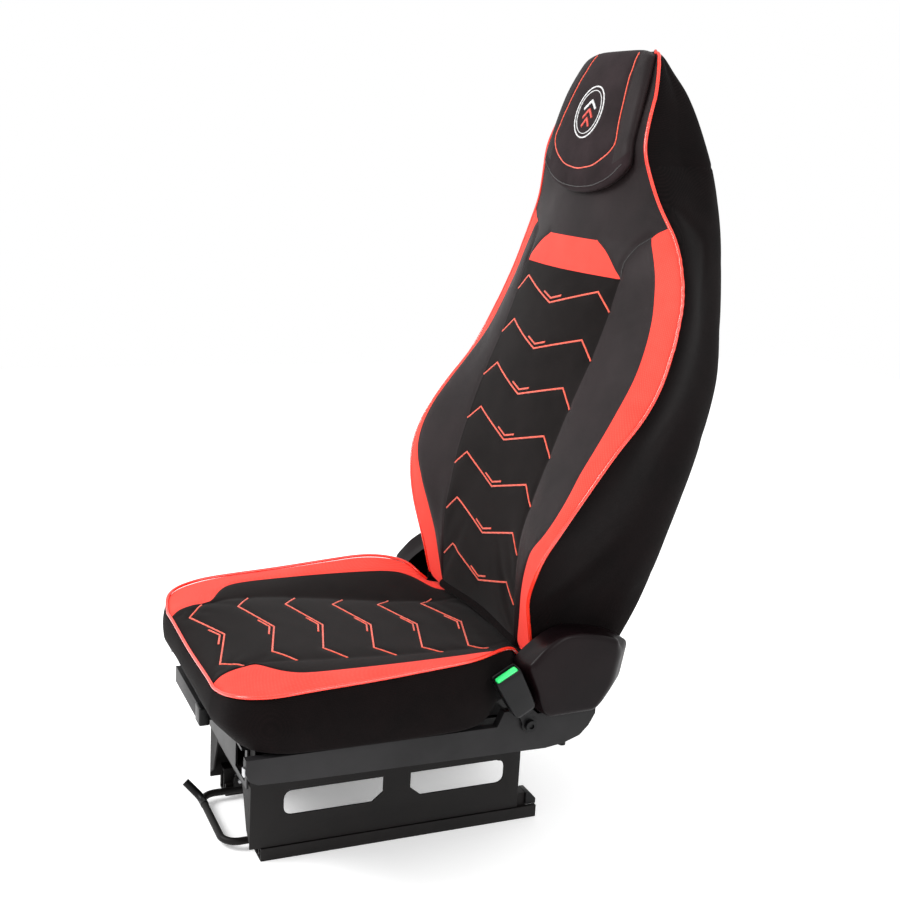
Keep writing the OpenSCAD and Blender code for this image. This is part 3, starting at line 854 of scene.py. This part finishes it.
def hem_roll():
    """The rolled hem along the lower front edge of the backrest."""
    s = np.linspace(-1.95, 1.95, 61)
    x, y = back_point(np.abs(s), np.full(len(s), 312.0))
    droop = 1.2 * np.cos(s * 2.3)
    path = np.stack([x * np.sign(s), y + 4, BACK_LOW + 4.5 + droop], 1)
    return tube("back_hem_roll", path, 7.4, black_cloth, sides=16)


back_hem = hem_roll()


# ---------------------------------------------------------------- head pad

PAD_W = [(960, 127), (1027, 128), (1040, 124), (1065, 122), (1107, 116), (1135, 108.5),
         (1160, 98), (1180, 88)]
PAD_FRONT = [(968, 275), (1040, 285), (1107, 302), (1150, 318), (1178, 331)]
PAD_TOP = 1178.0
FACE, EDGE = range(2)   # material slots of the head pad


def head_front(x, z):
    """Y of the head pad's front: crowned, and rolled back at its rim."""
    return curve(PAD_FRONT, z) + 5 * np.clip(np.abs(x) / curve(PAD_W, z), 0, 1) ** 2


def make_head_pad():
    across, up = 40, 44
    u = np.linspace(-1, 1, across + 1)
    v = np.linspace(0, 1, up + 1)
    grid_u, grid_v = np.meshgrid(u, v)
    low = 967 + 62 * (1 - np.sqrt(1 - 0.93 * grid_u ** 2))
    z = low + (PAD_TOP - 10 * np.abs(grid_u) ** 6 - low) * grid_v
    width = curve(PAD_W, z)
    x = grid_u * width
    edge = np.minimum(1 - np.abs(grid_u), np.minimum(grid_v * 1.4, 1 - grid_v))
    edge = np.clip(edge * 9, 0, 1)
    round_off = 6 * (1 - np.sqrt(1 - (1 - edge) ** 2))
    front = np.stack([x, head_front(x, z) + round_off, z], -1)
    rear = np.stack([x * 0.985, head_front(x, z) + 15 - 3 * edge, z], -1)
    n = across + 1
    count = n * (up + 1)
    faces, parts = [], []
    for j in range(up):
        for i in range(across):
            a = j * n + i
            faces.append((a, a + 1, a + n + 1, a + n))
            parts.append(FACE if abs(u[i] + u[i + 1]) / 2 < 0.74 or v[j] < 0.12 else EDGE)
            faces.append((count + a, count + a + n, count + a + n + 1, count + a + 1))
            parts.append(EDGE)
    rim = grid_rim(up, across)
    for (j, i), (k, m) in zip(rim, rim[1:] + rim[:1]):
        a, b = j * n + i, k * n + m
        faces.append((a, a + count, b + count, b))
        parts.append(EDGE)
    points = np.concatenate([front.reshape(-1, 3), rear.reshape(-1, 3)])
    pad = make_object("head_pad_cover", points, faces, [head_suede, leather], parts)
    fix_normals(pad)
    pins = np.zeros(2 * count, bool)
    pins[count:] = True
    pins[[j * n + i for j, i in rim]] = True
    return pad, pins


head_pad, head_pins = make_head_pad()
pin_and_swell(head_pad, head_pins, 1.6, 3.0)
pad_stitch = [(-62, 1172), (-78, 1110), (-98, 1045), (-80, 1026), (-45, 1008), (0, 1002),
              (45, 1008), (80, 1026), (94, 1040), (80, 1110), (62, 1172)]
pad_stitch = rounded_path(pad_stitch, 14, steps=5)
groove_along(head_pad, [pad_stitch], 1.5, 3.5)
subdivide(head_pad)
pad_tree = tree_of(head_pad)
pad_stitching = satin_line("head_pad_stitching",
                           *lay_on(pad_tree, pad_stitch, (0, 1, 0), 0, 0.25), 2.4,
                           coral_thread)
lip = [(-118, 1012), (-90, 992), (-50, 979), (0, 975), (50, 979), (90, 992), (118, 1012)]
pad_lip = satin_line("head_pad_lip_stitching",
                     *lay_on(pad_tree, rounded_path(lip, 18), (0, 1, 0), 0, 0.1), 1.6,
                     black_thread, 2.6)


def emblem():
    """A plain badge of the builder's own: two round rings and three chevrons."""
    def on_pad(name, line, width, material):
        points, out = lay_on(pad_tree, line, (0, 1, 0), 0, 0.5, step=1.0)
        return satin_line(name, points, out, width, material, 0.9)

    cx, cz = -4, 1086
    angles = np.linspace(0, 2 * math.pi, 49)
    parts = []
    for k, (radius, width) in enumerate(((38, 2.6), (32, 1.4))):
        ring = [(cx + radius * math.cos(a), cz + radius * math.sin(a)) for a in angles]
        parts.append(on_pad(f"ring_{k}", ring, width, white_thread))
    for k, material in enumerate((white_thread, red_thread, red_thread)):
        high = cz + 12 - 13 * k
        reach = 16 - 3 * k
        line = [(cx - reach, high - 7), (cx, high + 5), (cx + reach, high - 7)]
        parts.append(on_pad(f"chevron_{k}", line, 5.0, material))
    return join("head_pad_emblem", parts)


badge = emblem()


# ---------------------------------------------------------------- cushion

FRONT_Y, DIP_Y, TAIL_Y = -302.0, 136.0, 184.0
PEAK_Y = -240.0         # where the coral corner meets the insert's seam
BOXING_LOW = [(-302, 223), (-278, 225), (-206, 219.5), (-63, 218.5), (43, 221), (70, 224),
              (86, 233), (100, 245), (184, 246)]

EDGE_X = [(-302, 150), (-296, 188), (-286, 212), (-266, 230), (-236, 241), (-200, 243.5),
          (0, 245), (40, 243), (70, 233), (110, 209), (136, 190), (184, 184)]
EDGE_Z = [(-302, 290), (-290, 300), (-240, 308), (-200, 312), (-100, 318), (0, 326),
          (70, 331), (100, 329), (120, 322), (136, 307), (150, 297), (184, 292)]
BAND_IN_X = [(-302, 136), (-270, 132.5), (-240, 132), (-231, 146), (-222, 162), (-210, 178),
             (-195, 189), (-170, 195), (-120, 198), (-40, 199), (20, 197), (60, 194),
             (95, 188), (120, 178), (136, 164), (150, 152), (184, 140)]
BAND_IN_Z = [(-302, 291), (-290, 302), (-270, 309), (-240, 313.5), (-200, 318), (-100, 320),
             (60, 320), (95, 317), (120, 309), (136, 301), (150, 295), (184, 291)]
SEAM_X = [(-302, 108), (-270, 120), (-240, 128), (-225, 132), (-180, 136), (-110, 134.5),
          (-26, 126), (50, 115), (100, 110), (184, 98)]
SEAM_Z = [(-302, 291), (-290, 300), (-279, 306), (-240, 312), (-206, 314), (-132, 310),
          (-55, 303), (22, 296), (100, 291), (136, 290), (160, 293), (184, 294)]
CUSHION_TIPS = (-251, -176, -100, -22, 55, 131)


def cushion_top(s, y):
    """A point of the cushion's upper side: s is 0 at the middle, 1 at the insert's
    seam, 2 at the band's inner seam and 3 at the piping."""
    seam_x, band_x, edge_x = curve(SEAM_X, y), curve(BAND_IN_X, y), curve(EDGE_X, y)
    seam_z, band_z, edge_z = curve(SEAM_Z, y), curve(BAND_IN_Z, y), curve(EDGE_Z, y)
    zero = np.zeros_like(y)
    kx = np.stack([zero, seam_x, band_x, edge_x])
    kz = np.stack([seam_z - 3, seam_z, band_z, edge_z])
    gaps = np.maximum(np.hypot(np.diff(kx, axis=0), np.diff(kz, axis=0)), 1.0)
    mz = slopes(kz, gaps, 0.0, None)
    i = np.clip(np.floor(s).astype(int), 0, 2)
    t = s - i
    cols = np.arange(t.size)
    h = gaps[i, cols]
    z = hermite(kz[i, cols], kz[i + 1, cols], mz[i, cols] * h, mz[i + 1, cols] * h, t)
    x = kx[i, cols] * (1 - t) + kx[i + 1, cols] * t
    return x, z


def make_cushion():
    columns = split((18, 9, 9))
    s = np.concatenate([-columns[:0:-1], columns])
    peak_row = 16
    rows = np.concatenate([
        FRONT_Y + (PEAK_Y - FRONT_Y) * np.linspace(0, 1, peak_row, endpoint=False) ** 1.35,
        np.linspace(PEAK_Y, DIP_Y, 62, endpoint=False),
        np.linspace(DIP_Y, TAIL_Y, 9),
    ])
    m, n = len(rows), len(s)
    grid_s, grid_y = np.meshgrid(s, rows)
    x, z = cushion_top(np.abs(grid_s).ravel(), grid_y.ravel())
    x = x.reshape(m, n) * np.sign(grid_s)
    top = np.stack([x, grid_y, z.reshape(m, n)], -1)

    faces, parts = [], []
    for j in range(m - 1):
        for i in range(n - 1):
            a = j * n + i
            faces.append((a, a + 1, a + n + 1, a + n))
            here = abs(s[i] + s[i + 1]) / 2
            if here > 2:
                parts.append(CORAL)
            elif here > 1 and j >= peak_row:
                parts.append(GREY)
            else:
                parts.append(INSERT)

    # the boxing hangs from the piping round the whole outline
    loop = grid_rim(m - 1, n - 1)
    rim = np.array([top[j, i] for j, i in loop])
    ahead = np.roll(rim, -1, 0) - np.roll(rim, 1, 0)
    out = np.stack([ahead[:, 1], -ahead[:, 0]], 1)
    for _ in range(3):
        out = (np.roll(out, 1, 0) + out + np.roll(out, -1, 0)) / 3
    out = unit(out)
    front = smooth_step((-rim[:, 1] - 262) / 36)
    rear = smooth_step((rim[:, 1] - 120) / 30)
    low = curve(BOXING_LOW, rim[:, 1])
    levels = 14
    points = [top.reshape(-1, 3)]
    base = m * n
    count = len(loop)
    ring = [j * n + i for j, i in loop]
    for level in range(1, levels + 1):
        t = level / levels
        swell = (3.5 + 4.0 * front - 3 * rear) * math.sin(math.pi * t) ** 0.8
        tuck = (5 + 12 * front - 2 * rear) * smooth_step((t - 0.5) / 0.5) * t
        layer = rim.copy()
        layer[:, :2] += out * (swell - tuck)[:, None]
        layer[:, 2] = rim[:, 2] + (low - rim[:, 2]) * t
        points.append(layer)
        for k in range(count):
            q = (k + 1) % count
            if level == 1:
                a, b = ring[k], ring[q]
            else:
                a, b = base + (level - 2) * count + k, base + (level - 2) * count + q
            c, d = base + (level - 1) * count + q, base + (level - 1) * count + k
            faces.append((a, d, c, b))
            parts.append(SIDE)

    # its lower edge turns in under the foam
    inner = rim.copy()
    inner[:, :2] -= out * 26
    inner[:, 2] = np.maximum(low + 4, 223)
    points.append(inner)
    last = base + (levels - 1) * count
    for k in range(count):
        q = (k + 1) % count
        faces.append((last + k, last + count + k, last + count + q, last + q))
    under = close_across(last + count, count, (n - 1) // 2)
    faces += under
    parts += [SIDE] * (count + len(under))
    points = np.concatenate(points)

    pins = np.zeros(len(points), bool)
    seams = np.zeros(len(points), bool)
    for j in range(m):
        for i in range(n):
            on = abs(s[i]) in (3.0, 2.0) or j in (0, m - 1)
            on = on or (abs(s[i]) == 1.0 and j >= peak_row)
            pins[j * n + i] = on
            seams[j * n + i] = on and abs(s[i]) < 3 and 0 < j < m - 1
    pins[base + (levels - 1) * count:] = True
    cushion = make_object("cushion_cover", points, faces,
                          [suede, black_cloth, coral_cloth, strip_cloth], parts)
    fix_normals(cushion)
    boxing = np.zeros(len(points))
    boxing[base:base + (levels - 1) * count] = 1
    return cushion, pins, seams, boxing, rim, out


def cushion_chevron(tip):
    """One chevron of the cushion, in x and y."""
    reach = 133 - 20 * smooth_step((tip + 180) / 300)
    if tip < PEAK_Y:
        reach = 127
    return chevron([(96, tip - 30), (reach, tip - 5)], tip, 29, -7)


cushion, cushion_pins, cushion_seams, boxing_mask, cushion_rim, rim_out = make_cushion()
cushion_chevrons = [cushion_chevron(tip) for tip in CUSHION_TIPS]
sink_seams(cushion, cushion_seams, 1.6)
pin_and_swell(cushion, cushion_pins, 2.2, 5.0)
groove_along(cushion, [main for main, _ in cushion_chevrons], 1.8, 5.0, on_top=True)
ripple(cushion, boxing_mask, 1.6, 70, 2)
subdivide(cushion)
cushion_stitching = chevron_stitching("cushion_chevron_stitching", "cushion_stitch",
                                      tree_of(cushion), cushion_chevrons, (0, 0, -1), 500)


def rim_piping():
    """Piping along the cushion's edge, from one rear corner round the front."""
    seen = np.nonzero(cushion_rim[:, 1] < 150)[0]
    first = int(np.argmax(np.diff(seen))) + 1
    seen = np.concatenate([seen[first:], seen[:first]])
    lean = np.concatenate([rim_out[seen], np.full((len(seen), 1), 0.8)], 1)
    path = cushion_rim[seen] + lean * [1.2, 1.2, 1.8]
    lean = unit(lean)
    length = run_length(path)
    t = np.arange(0, length[-1], 4.0)
    path = resample(path, length, t)
    relax(path)
    return tube("cushion_piping", path, 2.5, piping_vinyl, normals=resample(lean, length, t))


cushion_piping = rim_piping()


# ---------------------------------------------------------------- hard parts

def rounded_copy(node, radius_mm, material):
    """A copy of a CAD node with its sharp edges rounded, to stand for the node."""
    obj = bpy.data.objects.new(node + "_shell", frame["nodes"][node].data.copy())
    scene.collection.objects.link(obj)
    obj.data.materials.clear()
    obj.data.materials.append(material)
    work = bmesh.new()
    work.from_mesh(obj.data)
    bmesh.ops.remove_doubles(work, verts=work.verts, dist=1e-6)
    bmesh.ops.dissolve_limit(work, angle_limit=0.01, verts=work.verts, edges=work.edges)
    work.to_mesh(obj.data)
    work.free()
    bevel = obj.modifiers.new("round", "BEVEL")
    bevel.width = radius_mm * MM
    bevel.segments = 3
    bevel.limit_method = "ANGLE"
    bevel.angle_limit = math.radians(32)
    bevel.use_clamp_overlap = True
    apply_modifiers(obj)
    obj.data.polygons.foreach_set("use_smooth", [True] * len(obj.data.polygons))
    obj.data.set_sharp_from_angle(angle=math.radians(45))
    return obj


COVER_BASE = [(112, 312), (136, 334), (160, 350), (186, 360), (222, 356), (256, 348),
              (290, 334), (280, 277), (254, 248), (234, 239), (154, 236), (145, 243),
              (126, 287)]
COVER_FACE = [(118, 320), (146, 350), (171, 365), (196, 364), (230, 357), (263, 347),
              (262, 321), (253, 277), (238, 252), (229, 241), (157, 239), (149, 246),
              (131, 289)]
HINGE = np.array([200.0, 300.0])
COVER_INSIDE, COVER_EDGE, COVER_OUTSIDE = 216, 240, 268     # distances from the middle


def recliner_cover(name, turn, hole):
    """Moulded cover: a tapering shell with a rounded rim, and on one side a hole for the
    recline handle."""
    base = rounded_path(COVER_BASE, 10, closed=True)
    face = rounded_path(COVER_FACE, 10, closed=True)
    rings = [(x, base) for x in np.linspace(COVER_INSIDE, COVER_EDGE, 3)]
    for angle in np.radians((0, 15, 30, 45, 60, 75, 90)):
        blend = 0.70 + 0.30 * math.sin(angle)
        ring = base + (face - base) * blend
        ring = HINGE + (ring - HINGE) * (1 - 0.14 * (1 - math.cos(angle)))
        rings.append((COVER_OUTSIDE - 8.5 * (1 - math.sin(angle)), ring))
    rim = rings[-1][1]
    circle = HINGE + unit(rim - HINGE) * (11 if hole else 1)
    for t in (0.12, 0.3, 0.55, 0.8, 1.0):
        rings.append((COVER_OUTSIDE + 1.6 * math.sin(math.pi / 2 * t), rim + (circle - rim) * t))
    if hole:
        rings.append((COVER_OUTSIDE - 20, circle))
    points = [(turn * x, y, z) for x, ring in rings for y, z in ring]
    faces = ring_faces(len(rings), len(base), first_cap=False, last_cap=not hole)
    cover = make_object(name, points, faces, [cover_plastic])
    fix_normals(cover)
    cover.data.set_sharp_from_angle(angle=math.radians(38))
    return cover


BUCKLE_X, BUCKLE_LEAN = 256.0, math.radians(29.5)
BUCKLE_FOOT = np.array([118.5, 250.5])


def rounded_ring(half_w, half_t, radius):
    """A rectangle with rounded corners, as points of width and thickness."""
    points = []
    for cx, cy, start in ((1, 1, 0), (-1, 1, 90), (-1, -1, 180), (1, -1, 270)):
        for angle in np.radians(np.linspace(start, start + 90, 5)):
            points.append((cx * (half_w - radius) + radius * math.cos(angle),
                           cy * (half_t - radius) + radius * math.sin(angle)))
    return points


def buckle_stack(name, sections, material):
    """A closed body from rounded rectangles stacked along the buckle. Each section is
    height, half width, half thickness, sideways shift and corner radius."""
    up = np.array([-math.sin(BUCKLE_LEAN), math.cos(BUCKLE_LEAN)])
    across = np.array([math.cos(BUCKLE_LEAN), math.sin(BUCKLE_LEAN)])
    points = []
    for high, half_w, half_t, shift, radius in sections:
        for w, t in rounded_ring(half_w, half_t, radius):
            y, z = BUCKLE_FOOT + up * high + across * w
            points.append((BUCKLE_X + shift + t, y, z))
    faces = ring_faces(len(sections), len(points) // len(sections))
    body = make_object(name, points, faces, [material])
    fix_normals(body)
    body.data.set_sharp_from_angle(angle=math.radians(50))
    return body


buckle_body = buckle_stack("buckle_body", [
    (0, 12, 8, 0, 4), (1.5, 15.5, 11, 0, 5), (6, 17.5, 12.4, 0, 5), (30, 19, 13, 0, 5),
    (60, 20.4, 13.6, 0, 5), (66.5, 20.4, 13.6, 0, 5), (68.4, 19.6, 12.8, 0, 4.5),
    (68.6, 18.6, 11.8, 0, 4), (67.6, 17.9, 11.2, 0, 4), (57, 17.7, 11.0, 0, 4)],
    black_plastic)
buckle_key = buckle_stack("buckle_key", [
    (62, 17.2, 6.6, 3.8, 3.2), (67.8, 17.2, 6.6, 3.8, 3.2), (70.0, 16.4, 5.8, 3.9, 2.8),
    (70.6, 14.9, 4.4, 3.9, 2)], green_plastic)
finish_piece(buckle_body, "buckle", "black_plastic", "buckle_housing")
finish_piece(buckle_key, "button", "green", "buckle_button")
for side, turn in (("left", 1), ("right", -1)):
    finish_piece(recliner_cover(f"recliner_shell_{side}", turn, turn < 0), "seat_base",
                 "cover_trim", f"recliner_cover_{side}")

grip_path = path_through([(-44, -266, 13), (-58, -266.5, 13.8), (-68, -270, 18),
                          (-75, -277, 25), (-81, -284, 32), (-84, -288, 36)], 2.0)
grip = tube("lever_grip", grip_path, 6.2, black_plastic, sides=16)
finish_piece(grip, "slide_lever", "black_plastic", "towel_grip")

BODY_OF = {node: body for body, nodes in frame["record"]["behaviour"]["bodies"].items()
           for node in nodes}


def pair(name):
    return [name + "_left", name + "_right"]


for nodes, radius, material, slot in (
        (pair("riser"), 0.8, black_steel, "steel"),
        (pair("floor_rail"), 0.7, black_steel, "steel"),
        (pair("slide_rail"), 0.5, black_steel, "steel"),
        (pair("rail_cap"), 1.2, black_plastic, "black_plastic"),
        (["front_apron"], 0.8, trim_plastic, "trim"),
        (pair("skirt"), 1.4, trim_plastic, "trim"),
        (["front_lever"], 3.0, trim_plastic, "trim"),
        (["front_lever_cap"], 3.0, black_plastic, "black_plastic"),
        (["skirt_clips"], 0.6, zinc, "bright_steel"),
        (pair("hinge_plate"), 0.6, black_steel, "steel"),
        (["recline_lever"], 2.0, black_plastic, "black_plastic"),
        (["buckle_stalk"], 0.6, black_plastic, "black_plastic"),
):
    for node in nodes:
        finish_piece(rounded_copy(node, radius, material), BODY_OF[node], slot, node)

# the remaining CAD nodes show as they are
for nodes, material in (
        (["rear_crossmember", "seat_pan", "towel_bar", "cushion_runners", "back_top_tube",
          "lumbar_tube", *pair("hinge_arm"), *pair("back_upright")], black_steel),
        (["skirt_bolts", "rear_buffers", "cushion_pan"], black_plastic),
        (["lever_pins", "recline_shaft", *pair("head_post")], zinc),
):
    for node in nodes:
        mesh = frame["nodes"][node].data
        mesh.materials.clear()
        mesh.materials.append(material)


# ---------------------------------------------------------------- riding

finish_piece(back, "backrest", "upholstery", "back_pad")
finish_piece(head_pad, "backrest", "upholstery", "head_pad")
finish_piece(cushion, "cushion", "upholstery", "cushion_pad")
for piece in (back_stitching, back_piping, back_hem, shoulder_stitching, pad_stitching,
              pad_lip, badge):
    finish_piece(piece, "backrest", "upholstery")
for piece in (cushion_stitching, cushion_piping):
    finish_piece(piece, "cushion", "upholstery")


# ---------------------------------------------------------------- stage, light, camera

floor_material = new_material("floor_paper", (0.95, 0.95, 0.95), 0.9, specular=0.0)
floor_shader = floor_material.node_tree.nodes["Principled BSDF"]
floor_shader.inputs["Emission Color"].default_value = (1, 1, 1, 1)
floor_shader.inputs["Emission Strength"].default_value = 0.25
FLOOR = 4000            # half the side of the floor
floor = make_object("floor", [(-FLOOR, -FLOOR, 0), (FLOOR, -FLOOR, 0), (FLOOR, FLOOR, 0),
                              (-FLOOR, FLOOR, 0)], [(0, 1, 2, 3)], [floor_material],
                    smooth=False)

world = bpy.data.worlds.new("studio")
scene.world = world
world.use_nodes = True
background = world.node_tree.nodes["Background"]
background.inputs["Color"].default_value = (1, 1, 1, 1)
background.inputs["Strength"].default_value = 1.0


def area_light(name, place, aim, size, power):
    light = bpy.data.lights.new(name, "AREA")
    light.shape = "DISK"
    light.size = size
    light.energy = power
    obj = bpy.data.objects.new(name, light)
    scene.collection.objects.link(obj)
    obj.location = place
    direction = Vector(aim) - Vector(place)
    obj.rotation_euler = direction.to_track_quat("-Z", "Y").to_euler()


area_light("key", (-0.6, -2.6, 2.6), (0, 0.1, 0.6), 1.6, 90)
area_light("side", (2.6, 0.6, 1.9), (0, 0.2, 0.6), 1.8, 35)

AZIMUTH, ELEVATION, ROLL = math.radians(66.0), math.radians(12.93), math.radians(3.19)
DISTANCE, TARGET = 2.0371, Vector((0, 0.095, 0.5722))
outward = Vector((math.sin(AZIMUTH) * math.cos(ELEVATION),
                  -math.cos(AZIMUTH) * math.cos(ELEVATION), math.sin(ELEVATION)))
level = Vector((math.cos(AZIMUTH), math.sin(AZIMUTH), 0))
upward = outward.cross(level)
right = math.cos(ROLL) * level + math.sin(ROLL) * upward
upright = -math.sin(ROLL) * level + math.cos(ROLL) * upward
camera_data = bpy.data.cameras.new("camera")
camera_data.sensor_width = 36
camera_data.lens = 53.26
camera_data.clip_start = 0.05
camera = bpy.data.objects.new("camera", camera_data)
scene.collection.objects.link(camera)
turn = Matrix((right, upright, outward)).transposed().to_4x4()
camera.matrix_world = Matrix.Translation(TARGET + DISTANCE * outward) @ turn
scene.camera = camera

scene.view_settings.view_transform = "Standard"
